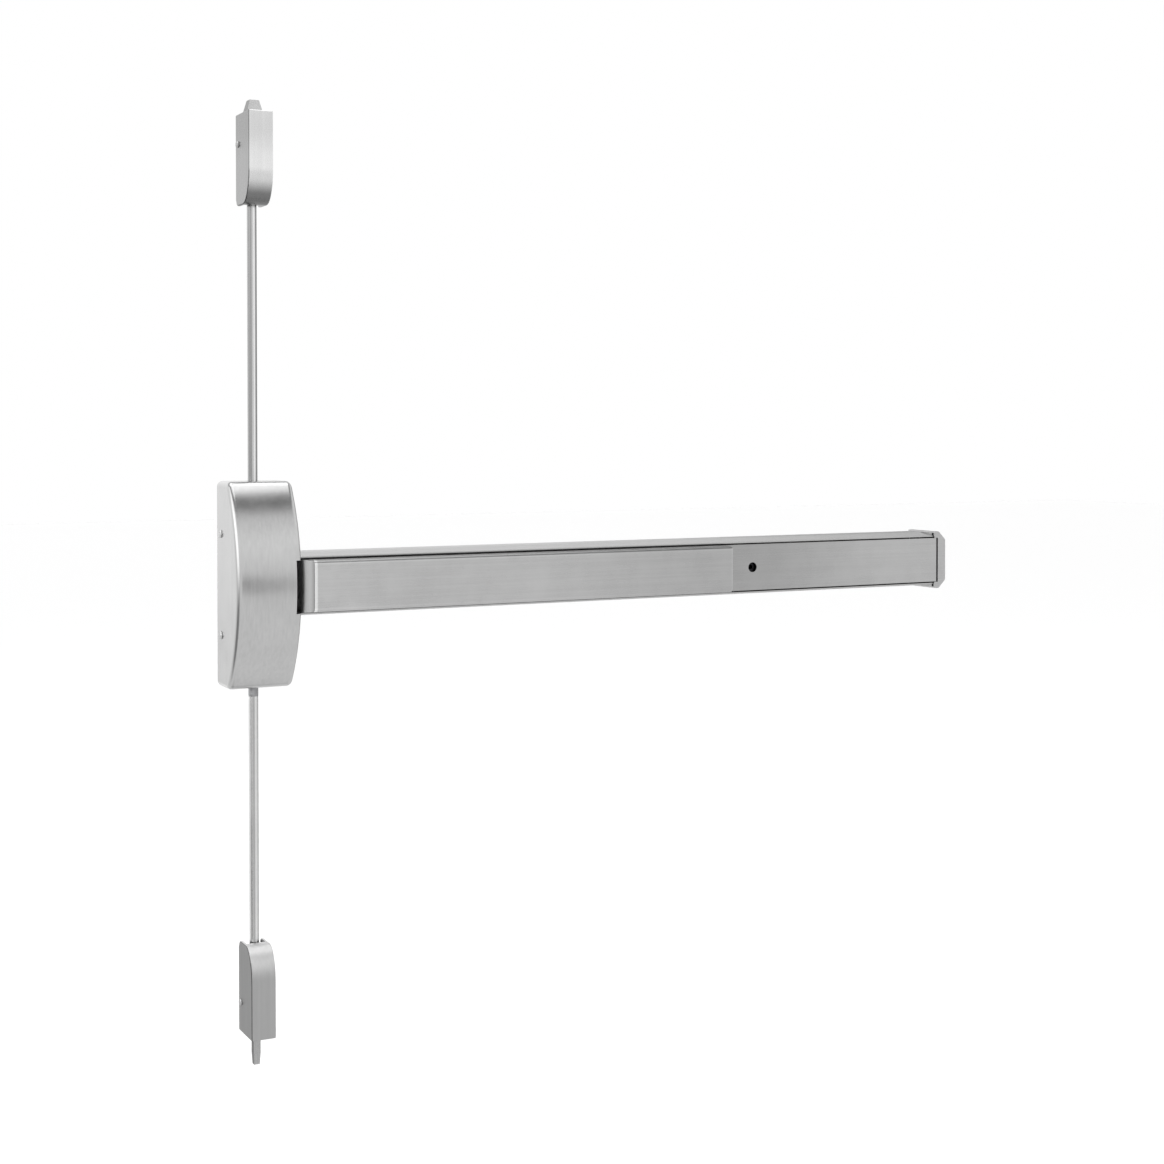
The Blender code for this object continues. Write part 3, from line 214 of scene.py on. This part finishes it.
def make_world():
    """A white room for the eye, and a soft studio of bright and dark panels for the metal to reflect."""
    world = bpy.data.worlds.new("studio")
    bpy.context.scene.world = world
    world.use_nodes = True
    graph = Graph(world.node_tree)
    world.node_tree.nodes.clear()
    direction = graph.node("ShaderNodeTexCoord").outputs["Generated"]
    height = graph.node("ShaderNodeSeparateXYZ")
    graph.link(direction, height.inputs[0])
    z = height.outputs["Z"]
    ramp = graph.node("ShaderNodeValToRGB")
    graph.link(graph.remap(z, -1.0, 1.0, 0.0, 1.0), ramp.inputs[0])
    steps = ramp.color_ramp.elements
    for place, _ in STUDIO_STOPS[1:-1]:
        steps.new(place)
    for index, (_, level) in enumerate(STUDIO_STOPS):
        steps[index].color = (level, level, level, 1.0)
    level = ramp.outputs["Color"]
    for heading, inner, outer, strength in STUDIO_PATCHES:
        patch = smooth_patch(graph, direction, heading, inner, outer)
        glow = graph.math("MULTIPLY", patch, strength)
        level = graph.math("ADD", level, glow)
    level = graph.math("MAXIMUM", level, DARKEST_CORNER)
    studio = graph.node("ShaderNodeBackground")
    graph.link(level, studio.inputs["Color"])
    white = graph.node("ShaderNodeBackground")
    white.inputs["Color"].default_value = (1.0, 1.0, 1.0, 1.0)
    seen = graph.node("ShaderNodeLightPath").outputs["Is Camera Ray"]
    both = graph.node("ShaderNodeMixShader")
    graph.link(seen, both.inputs[0])
    graph.link(studio.outputs[0], both.inputs[1])
    graph.link(white.outputs[0], both.inputs[2])
    out = graph.node("ShaderNodeOutputWorld")
    graph.link(both.outputs[0], out.inputs["Surface"])


FLOOR_DROP = 0.06
FLOOR_HALF = 12.0
FLOOR_COLOUR = (0.93, 0.93, 0.93, 1.0)
FLOOR_ROUGHNESS = 0.9
FLOOR_GLOSS = 0.1


def make_floor():
    """A pale floor below the lower bolt."""
    shape = bmesh.new()
    bmesh.ops.create_grid(shape, x_segments=1, y_segments=1, size=FLOOR_HALF)
    mesh = bpy.data.meshes.new("floor")
    shape.to_mesh(mesh)
    shape.free()
    floor = bpy.data.objects.new("floor", mesh)
    floor.location = (0, 0, CAD_LOW.z - FLOOR_DROP)
    bpy.context.scene.collection.objects.link(floor)
    material = bpy.data.materials.new("pale_floor")
    material.use_nodes = True
    shader = material.node_tree.nodes["Principled BSDF"]
    shader.inputs["Base Color"].default_value = FLOOR_COLOUR
    shader.inputs["Roughness"].default_value = FLOOR_ROUGHNESS
    shader.inputs["Specular IOR Level"].default_value = FLOOR_GLOSS
    mesh.materials.append(material)
    floor.visible_glossy = False


KEY_SIZE = (3.0, 2.4)
KEY_POWER = 42.0
KEY_PLACE = (0.3, -0.9, 2.4)
KEY_TILT = radians(-20)


def make_key_light():
    """One broad soft light overhead keeps the floor white and grounds the object with a faint shadow."""
    data = bpy.data.lights.new("overhead_softbox", "AREA")
    data.shape = "RECTANGLE"
    data.size, data.size_y = KEY_SIZE
    data.energy = KEY_POWER
    light = bpy.data.objects.new("overhead_softbox", data)
    light.location = KEY_PLACE
    light.rotation_euler = (KEY_TILT, 0, 0)
    light.visible_camera = False
    light.visible_glossy = False
    bpy.context.scene.collection.objects.link(light)


# ---------------------------------------------------------------- metal finishes

# Noise scales, in waves per metre
SCRATCH_ALONG = 22.0
SCRATCH_ACROSS = 2600.0
STREAK_SHARE = 0.16
BLOTCH_SCALE = 38.0
CLOUD_SCALE = 60.0
GRIT_SCALE = 1400.0
# How far from an edge the wear reaches, and the turn of the surface that counts as flat and as an edge
SATIN_EDGE = 0.0007
PLATED_EDGE = 0.0005
FLAT_TURN = 0.97
EDGE_TURN = 0.80
# The middle part of a noise, where nearly all of it lies
NOISE_LOW = 0.35
NOISE_HIGH = 0.65
# Bump depths
SCRATCH_DEPTH = 0.00004
GRIT_DEPTH = 0.00003
GRIT_STRENGTH = 0.25
EDGE_SAMPLES = 4


def principled(name):
    """A metallic material, with a helper for its nodes and its shader."""
    material = bpy.data.materials.new(name)
    material.use_nodes = True
    graph = Graph(material.node_tree)
    shader = material.node_tree.nodes["Principled BSDF"]
    shader.inputs["Metallic"].default_value = 1.0
    return material, graph, shader


def edge_mask(graph, radius):
    """1 on worn outer edges and 0 on flat faces, from how far a rounded normal turns away."""
    bevel = graph.node("ShaderNodeBevel", samples=EDGE_SAMPLES)
    bevel.inputs["Radius"].default_value = radius
    plain = graph.node("ShaderNodeNewGeometry").outputs["Normal"]
    same = graph.vector_math("DOT_PRODUCT", bevel.outputs["Normal"], plain, output=1)
    return graph.remap(same, FLAT_TURN, EDGE_TURN, 0.0, 1.0)


def shade(colour, factor):
    """A colour made darker or lighter, with its alpha."""
    return tuple(min(1.0, channel * factor) for channel in colour) + (1.0,)


def add_bump(graph, shader, height, strength, depth):
    """Fine relief from a height, as bump in the shader."""
    bump = graph.node("ShaderNodeBump")
    bump.inputs["Strength"].default_value = strength
    bump.inputs["Distance"].default_value = depth
    graph.link(height, bump.inputs["Height"])
    graph.link(bump.outputs["Normal"], shader.inputs["Normal"])


def brushed(name, colour, roughness, grain, groove=0.35, painted_light=()):
    """Satin metal with long fine scratches along one axis, faint smudges and slightly polished edges.

    Each painted light entry is (source, low, high, from, to) and paints light and shade into the colour: as
    the source, an axis of the piece's own place or of its surface's direction, goes from low to high, the
    colour is multiplied by a number between from and to.
    """
    material, graph, shader = principled(name)
    place = graph.node("ShaderNodeTexCoord").outputs["Object"]
    scales = tuple(SCRATCH_ALONG if axis == grain else SCRATCH_ACROSS for axis in "XYZ")
    scratches = graph.noise(graph.stretched(place, scales), 1.0, 2.0, 0.6)
    wide = tuple(scale * STREAK_SHARE for scale in scales)
    streaks = graph.noise(graph.stretched(place, wide), 1.0, 3.0, 0.6)
    blotch = graph.noise(place, BLOTCH_SCALE, 3.0, 0.55)
    tone = graph.math("ADD", graph.math("MULTIPLY", streaks, 0.5), graph.math("MULTIPLY", blotch, 0.5))
    light_share = graph.remap(tone, NOISE_LOW, NOISE_HIGH, 0.0, 1.0)
    base = graph.mix_colour(light_share, shade(colour, 0.95), shade(colour, 1.05))
    edges = edge_mask(graph, SATIN_EDGE)
    base = graph.mix_colour(graph.math("MULTIPLY", edges, 0.6), base, shade(colour, 1.22))
    # Painted light and shade: each entry scales the colour along an axis of place or of surface direction.
    for source, low, high, first, last in painted_light:
        base = graph.vector_math("SCALE", base, graph.axis_tone(source, low, high, first, last))
    graph.link(base, shader.inputs["Base Color"])
    rough = graph.remap(scratches, 0.3, 0.7, roughness * 0.86, roughness * 1.14)
    rough = graph.math("ADD", rough, graph.remap(blotch, NOISE_LOW, NOISE_HIGH, -0.02, 0.02))
    rough = graph.math("SUBTRACT", rough, graph.math("MULTIPLY", edges, 0.05))
    graph.link(rough, shader.inputs["Roughness"])
    add_bump(graph, shader, scratches, groove, SCRATCH_DEPTH)
    return material


def plated(name, colour, roughness, mottle=0.08):
    """Plated or cast metal: fine mottling without a grain."""
    material, graph, shader = principled(name)
    place = graph.node("ShaderNodeTexCoord").outputs["Object"]
    cloud = graph.noise(place, CLOUD_SCALE, 4.0, 0.6)
    grit = graph.noise(place, GRIT_SCALE, 2.0, 0.5)
    light_share = graph.remap(cloud, NOISE_LOW, NOISE_HIGH, 0.0, 1.0)
    base = graph.mix_colour(light_share, shade(colour, 1 - mottle), shade(colour, 1 + mottle))
    edges = edge_mask(graph, PLATED_EDGE)
    base = graph.mix_colour(graph.math("MULTIPLY", edges, 0.5), base, shade(colour, 1.3))
    graph.link(base, shader.inputs["Base Color"])
    rough = graph.remap(cloud, 0.3, 0.7, roughness * 0.85, roughness * 1.15)
    graph.link(rough, shader.inputs["Roughness"])
    add_bump(graph, shader, grit, GRIT_STRENGTH, GRIT_DEPTH)
    return material


# ---------------------------------------------------------------- dressing the CAD nodes

WELD_DISTANCE = 0.000002
FLAT_LIMIT = radians(0.4)
EDGE_LIMIT = radians(30)
SHALLOW_EDGE_LIMIT = radians(5)
SPLIT_LIMIT = radians(35)
ROUND_SEGMENTS = 2
SMALL_ROUND = 0.00015
LARGE_FACE_WEIGHT = 90


def refine(node, width, edge_limit):
    """Welds a CAD node's triangles, merges its flat faces and rounds its edges, with modifiers alone.

    The last modifier makes shading follow the large faces, so that flat and arched faces reflect evenly.
    """
    item = NODES[node]
    mesh = item.data
    for flags in ("custom_normal", "sharp_edge"):
        if flags in mesh.attributes:
            mesh.attributes.remove(mesh.attributes[flags])
    mesh.polygons.foreach_set("use_smooth", [True] * len(mesh.polygons))
    weld = item.modifiers.new("weld", "WELD")
    weld.merge_threshold = WELD_DISTANCE
    flat = item.modifiers.new("flat_faces", "DECIMATE")
    flat.decimate_type = "DISSOLVE"
    flat.angle_limit = FLAT_LIMIT
    bevel = item.modifiers.new("edge_round", "BEVEL")
    bevel.width = width
    bevel.segments = ROUND_SEGMENTS
    bevel.limit_method = "ANGLE"
    bevel.angle_limit = edge_limit
    split = item.modifiers.new("sharp_edges", "EDGE_SPLIT")
    split.split_angle = SPLIT_LIMIT
    even = item.modifiers.new("even_normals", "WEIGHTED_NORMAL")
    even.weight = LARGE_FACE_WEIGHT


def dress(node, material, width, edge_limit=EDGE_LIMIT):
    """Rounds a CAD node's edges and gives it one material."""
    refine(node, width, edge_limit)
    materials = NODES[node].data.materials
    materials.clear()
    materials.append(material)


# Light and shade painted over the finishes, by place and by surface direction, as brushed() reads them
# Painted shade: the whole filler a little darker, and more so at its end next to the pad.
FILLER_PAINTED_SHADE = (("Object X", 0.560, 0.760, 0.74, 0.94),)
# Painted shade: the nose darker towards its seam with the pad shell, and on its faces turned upwards.
NOSE_PAINTED_SHADE = (("Object X", 0.0425, 0.0460, 1.04, 0.74), ("Normal Z", 0.20, 0.50, 1.0, 0.55))
# Painted highlights on the shell's left and right end edges, painted light near its left end fading to
# painted shade towards the right, and painted shade on faces turned upwards.
PAD_PAINTED_LIGHT = (
    ("Object X", 0.0484, 0.0504, 1.60, 1.0),
    ("Object X", 0.070, 0.170, 1.09, 1.0),
    ("Object X", 0.250, 0.520, 1.0, 0.84),
    ("Object X", 0.5285, 0.5300, 1.0, 1.25),
    ("Normal Z", 0.20, 0.50, 1.0, 0.48),
)
# Painted shade on the upper latch cover's left side, its left front edge and its faces turned downwards,
# and painted light on its lower part.
UPPER_LATCH_PAINTED_LIGHT = (
    ("Normal X", -0.97, -0.85, 0.39, 0.20),
    ("Normal X", -0.45, -0.20, 1.0, 5.0),
    ("Normal Z", -0.55, -0.06, 0.24, 1.0),
    ("Object Z", 0.415, 0.450, 1.20, 1.0),
)
# Painted shade on the lower latch cover's left side and left front edge, and a painted highlight on its
# faces turned upwards.
LOWER_LATCH_PAINTED_LIGHT = (
    ("Normal X", -0.97, -0.85, 0.60, 0.24),
    ("Normal X", -0.45, -0.20, 1.0, 4.2),
    ("Normal Z", 0.05, 0.40, 1.0, 1.50),
)
# Painted shade on the bolts' left faces, and painted light on the upper bolt's front.
UPPER_BOLT_PAINTED_LIGHT = (("Normal X", -0.60, -0.15, 0.34, 1.25),)
LOWER_BOLT_PAINTED_SHADE = (("Normal X", -0.45, -0.05, 0.12, 1.0),)
# A painted highlight stripe down the upper rod's front, with painted shade on either side of it.
UPPER_ROD_PAINTED_LIGHT = (
    ("Normal X", -0.97, -0.78, 0.90, 0.52),
    ("Normal X", -0.58, -0.15, 1.0, 2.30),
    ("Normal X", -0.15, 0.10, 1.0, 1.38),
    ("Normal X", 0.28, 0.48, 1.0, 0.36),
)
# Painted light on the lower rod's left face and a painted highlight stripe down its front, with painted
# shade between them.
LOWER_ROD_PAINTED_LIGHT = (
    ("Normal X", -0.62, -0.35, 1.35, 0.85),
    ("Normal X", -0.15, 0.05, 1.0, 1.70),
    ("Normal X", 0.15, 0.80, 1.0, 0.66),
)
# Painted shade on the rail's faces turned upwards.
RAIL_PAINTED_SHADE = (("Normal Z", 0.10, 0.45, 1.0, 0.86),)


def dress_all():
    """Every CAD node gets a finish: its own where it has one, and otherwise its material slot's."""
    case_metal = brushed("case_satin", (0.60, 0.60, 0.60), 0.19, "Z", groove=0.35)
    rail_metal = brushed("rail_satin", (0.56, 0.56, 0.56), 0.30, "X", painted_light=RAIL_PAINTED_SHADE)
    filler_metal = brushed("filler_satin", (0.60, 0.60, 0.60), 0.30, "X", painted_light=FILLER_PAINTED_SHADE)
    pad_metal = brushed("pad_satin", (0.60, 0.60, 0.60), 0.30, "X", painted_light=PAD_PAINTED_LIGHT)
    upper_rod_metal = brushed("upper_rod_satin", (0.58, 0.58, 0.58), 0.26, "Z", painted_light=UPPER_ROD_PAINTED_LIGHT)
    lower_rod_metal = brushed("lower_rod_satin", (0.58, 0.58, 0.58), 0.26, "Z", painted_light=LOWER_ROD_PAINTED_LIGHT)
    # Both latch covers are the same satin steel: the upper one's paler colour is painted light and the
    # lower one's darker colour is painted shade.
    upper_latch_lit_metal = brushed("upper_latch_lit_satin", (0.78, 0.78, 0.78), 0.28, "Z", painted_light=UPPER_LATCH_PAINTED_LIGHT)
    lower_latch_shaded_metal = brushed("lower_latch_shaded_satin", (0.48, 0.48, 0.48), 0.48, "Z", painted_light=LOWER_LATCH_PAINTED_LIGHT)
    nose_metal = brushed("nose_satin", (0.58, 0.58, 0.58), 0.30, "Z", groove=0.2, painted_light=NOSE_PAINTED_SHADE)
    bolt_metal = brushed("bolt_ground", (0.58, 0.58, 0.58), 0.28, "Z", groove=0.3, painted_light=UPPER_BOLT_PAINTED_LIGHT)
    # The lower bolt is the same ground steel as the upper bolt: its darker colour is painted shade.
    lower_bolt_shaded_metal = brushed("lower_bolt_shaded_ground", (0.48, 0.48, 0.48), 0.28, "Z", painted_light=LOWER_BOLT_PAINTED_SHADE)
    screw_metal = plated("screw_bright", (0.56, 0.56, 0.56), 0.38)
    case_screw_metal = plated("case_screw_bright", (0.74, 0.74, 0.74), 0.48)
    pin_metal = plated("pin_bright", (0.66, 0.66, 0.67), 0.25)
    zinc = plated("zinc_plate", (0.48, 0.49, 0.50), 0.42)
    spring_metal = plated("spring_steel", (0.30, 0.30, 0.31), 0.35)
    black = plated("black_oxide", (0.05, 0.05, 0.055), 0.45)
    looks = {
        "case_cover": (case_metal, 0.0003),
        "rail_channel": (rail_metal, 0.0003, SHALLOW_EDGE_LIMIT),
        "filler_cover": (filler_metal, 0.0003),
        "rail_end_cap": (rail_metal, 0.0003),
        "push_pad_shell": (pad_metal, 0.0002),
        "push_pad_nose": (nose_metal, 0.0003),
        "upper_rod": (upper_rod_metal, 0.0004),
        "lower_rod": (lower_rod_metal, 0.0004),
        "upper_latch_cover": (upper_latch_lit_metal, 0.0005),
        "lower_latch_cover": (lower_latch_shaded_metal, 0.0005),
        "upper_latch_bolt": (bolt_metal, 0.0006),
        "lower_latch_bolt": (lower_bolt_shaded_metal, 0.0010),
    }
    slots = {
        "screw_metal": screw_metal,
        "pin_metal": pin_metal,
        "zinc_plate": zinc,
        "spring_steel": spring_metal,
        "black_oxide": black,
        "pad_end_metal": nose_metal,
        "satin_metal": rail_metal,
        "bolt_metal": bolt_metal,
    }
    for part in frame["record"]["subparts"]:
        node = part["node"]
        if node.startswith("case_cover_screw"):
            dress(node, case_screw_metal, SMALL_ROUND)
        elif node in looks:
            dress(node, *looks[node])
        else:
            dress(node, slots[part["material_slot"]], SMALL_ROUND)


# ---------------------------------------------------------------- pieces that the CAD doesn't have


def tube(name, rings):
    """A smooth closed skin over a row of rings, each a list of the same number of points."""
    shape = bmesh.new()
    rows = [[shape.verts.new(point) for point in ring] for ring in rings]
    sides = len(rows[0])
    for upper, lower in zip(rows, rows[1:]):
        for side in range(sides):
            after = (side + 1) % sides
            shape.faces.new((upper[side], lower[side], lower[after], upper[after]))
    shape.faces.new(list(reversed(rows[0])))
    shape.faces.new(rows[-1])
    bmesh.ops.recalc_face_normals(shape, faces=shape.faces)
    mesh = bpy.data.meshes.new(name)
    shape.to_mesh(mesh)
    shape.free()
    mesh.shade_smooth()
    piece = bpy.data.objects.new(name, mesh)
    bpy.context.scene.collection.objects.link(piece)
    return piece


THREAD_TOP_Z = -0.1026
THREAD_PITCH = 0.00125
THREAD_TURNS = 8
THREAD_CREST = 0.00500
THREAD_ROOT = 0.00480
THREAD_SIDES = 28
THREAD_STEPS = 4
ROD_CENTRE_Y = -0.011


def thread_point(turns, side):
    """A point on the thread's skin: the ridge climbs once round the rod for every pitch down it."""
    around = side / THREAD_SIDES
    ridge = 1.0 - abs(2.0 * ((turns + around) % 1.0) - 1.0)
    fade = min(1.0, turns, THREAD_TURNS - turns)
    radius = THREAD_ROOT + (THREAD_CREST - THREAD_ROOT) * ridge * fade
    turn = 2 * pi * around
    return radius * cos(turn), ROD_CENTRE_Y + radius * sin(turn), THREAD_TOP_Z - THREAD_PITCH * turns


def rod_thread():
    """The rolled thread that the lower rod shows where it enters the case."""
    rings = []
    for step in range(THREAD_TURNS * THREAD_STEPS + 1):
        rings.append([thread_point(step / THREAD_STEPS, side) for side in range(THREAD_SIDES)])
    thread = tube("lower_rod_thread", rings)
    thread.data.materials.append(plated("thread_steel", (0.38, 0.38, 0.39), 0.30, mottle=0.40))
    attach(thread, "lower_rod_set")


SPRING_WIRE = 0.0006
SPRING_TURNS = 10
SPRING_STEPS = 24
SPRING_SIDES = 8
CLOSED_PITCH = 2.1 * SPRING_WIRE


def return_coil():
    """The return spring with closed end turns, at one fixed length; the real spring shortens towards its
    seat as the bar is pulled.
    """
    spring_low, spring_high = (Vector(corner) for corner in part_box("return_spring"))
    middle = (spring_low + spring_high) / 2
    radius = (spring_high.z - spring_low.z) / 2 - SPRING_WIRE
    length = spring_high.x - spring_low.x
    open_turns = SPRING_TURNS - 2
    open_pitch = (length - 2 * SPRING_WIRE - 2 * CLOSED_PITCH) / open_turns
    rings = []
    for step in range(SPRING_TURNS * SPRING_STEPS + 1):
        turns = step / SPRING_STEPS
        opened = min(max(turns - 1, 0), open_turns)
        x = spring_low.x + SPRING_WIRE + open_pitch * opened + CLOSED_PITCH * (turns - opened)
        outward = Vector((0, cos(2 * pi * turns), sin(2 * pi * turns)))
        centre = Vector((x, middle.y, middle.z)) + outward * radius
        ring = []
        for side in range(SPRING_SIDES):
            angle = 2 * pi * side / SPRING_SIDES
            spoke = outward * cos(angle) + Vector((sin(angle), 0, 0))
            ring.append(centre + SPRING_WIRE * spoke)
        rings.append(ring)
    coil = tube("return_coil", rings)
    coil.data.materials.append(NODES["return_spring"].data.materials[0])
    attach(coil, "device_body")
    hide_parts("return_spring")
    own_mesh(coil)


bpy.context.scene.view_settings.view_transform = "Standard"
make_camera()
make_world()
make_floor()
make_key_light()
dress_all()
rod_thread()
return_coil()
